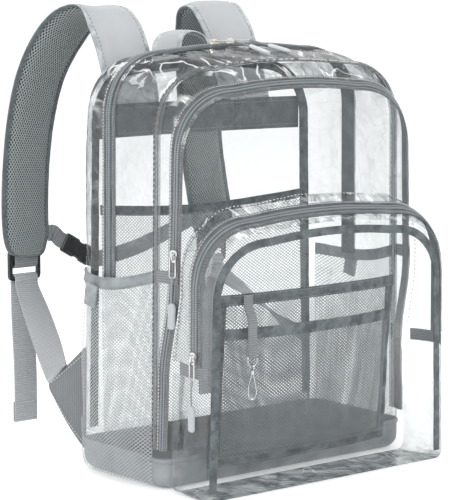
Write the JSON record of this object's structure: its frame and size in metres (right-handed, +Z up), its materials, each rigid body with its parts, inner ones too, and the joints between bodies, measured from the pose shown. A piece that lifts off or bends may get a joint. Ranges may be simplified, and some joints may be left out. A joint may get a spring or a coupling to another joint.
{
  "type": "clear stadium backpack",
  "caption": "See-through backpack with arched zipped compartments, mesh side pockets, a mesh organizer with key clip, padded shoulder straps and a fastened chest strap.",
  "frame": {"origin": "centre of the footprint on the floor, on the flat underside of the tray", "axes": "+Z up, -Y the bag's front with the small pocket, +Y the wearer's side with the shoulder straps, +X the bag's right as seen from the front"},
  "size_m": [0.3632, 0.3204, 0.4697],
  "materials": {
    "clear_vinyl": "clear glossy PVC sheet, slightly cool, with soft wrinkles",
    "binding_cloth": "folded grey polyester binding tape, fine plain weave",
    "tray_cloth": "grey coated polyester cloth",
    "zip_tape": "woven zip tape with a grey nylon coil",
    "piping": "clear piping over a seam with dark stitches",
    "net": "light grey knitted polyester net",
    "webbing": "ribbed grey polypropylene webbing",
    "strap_cloth": "light grey plain polyester over foam",
    "air_mesh": "grey spacer mesh with dark openings",
    "buckle_plastic": "black moulded acetal, slightly glossy",
    "slider_metal": "nickel-plated zinc, bright",
    "pull_rubber": "grey moulded rubber tip",
    "clip_steel": "bright bent steel wire"
  },
  "bodies": {
    "bag": {"base_tray": "tray_cloth", "gusset_rear": "clear_vinyl", "main_zip": "zip_tape", "gusset_front": "clear_vinyl", "main_piping": "piping", "back_panel": "clear_vinyl", "back_binding": "binding_cloth", "divider_panel": "clear_vinyl", "strap_band": "binding_cloth", "laptop_sleeve": "net", "sleeve_binding": "binding_cloth", "mid_gusset": "clear_vinyl", "mid_zip": "zip_tape", "mid_panel": "clear_vinyl", "mid_end_patch_left": "binding_cloth", "mid_end_patch_right": "binding_cloth", "pocket_gusset": "clear_vinyl", "front_zip": "zip_tape", "front_edge": "clear_vinyl", "pocket_base": "clear_vinyl", "front_end_tab_left": "binding_cloth", "front_end_tab_right": "binding_cloth", "front_panel": "clear_vinyl", "front_binding": "binding_cloth", "organizer_frame": "binding_cloth", "organizer_mesh": "net", "organizer_pocket": "net", "organizer_pocket_binding": "binding_cloth", "key_strap": "webbing", "key_ring": "clip_steel", "key_hook": "clip_steel", "side_pocket_left": "net", "side_pocket_right": "net", "side_binding_left": "binding_cloth", "side_binding_right": "binding_cloth", "side_tab_left": "webbing", "side_tab_right": "webbing", "shoulder_strap_left": "strap_cloth", "shoulder_strap_right": "strap_cloth", "ladder_lock_left": "buckle_plastic", "ladder_lock_right": "buckle_plastic", "webbing_left": "webbing", "webbing_right": "webbing", "corner_tab_left": "binding_cloth", "corner_tab_right": "binding_cloth", "grab_handle": "strap_cloth", "chest_webbing_left": "webbing", "chest_webbing_right": "webbing", "chest_buckle": "buckle_plastic", "slider_middle": "slider_metal", "slider_front": "slider_metal", "slider_main_left": "slider_metal", "slider_main_right": "slider_metal", "pull_middle": "pull_rubber", "pull_front": "pull_rubber", "pull_main_left": "pull_rubber", "pull_main_right": "pull_rubber"},
    "hook_gate": {"key_hook_gate": "clip_steel"}
  },
  "joints": [
    {"name": "hook_gate_hinge", "type": "hinge", "parent": "bag", "child": "hook_gate", "pos_m": [-0.08256, -0.08138, 0.1132], "axis": [0, 1, 0], "range_deg": [0, 25], "stiffness_Nm_per_rad": 0.0005, "springref_deg": -11.46}
  ]
}
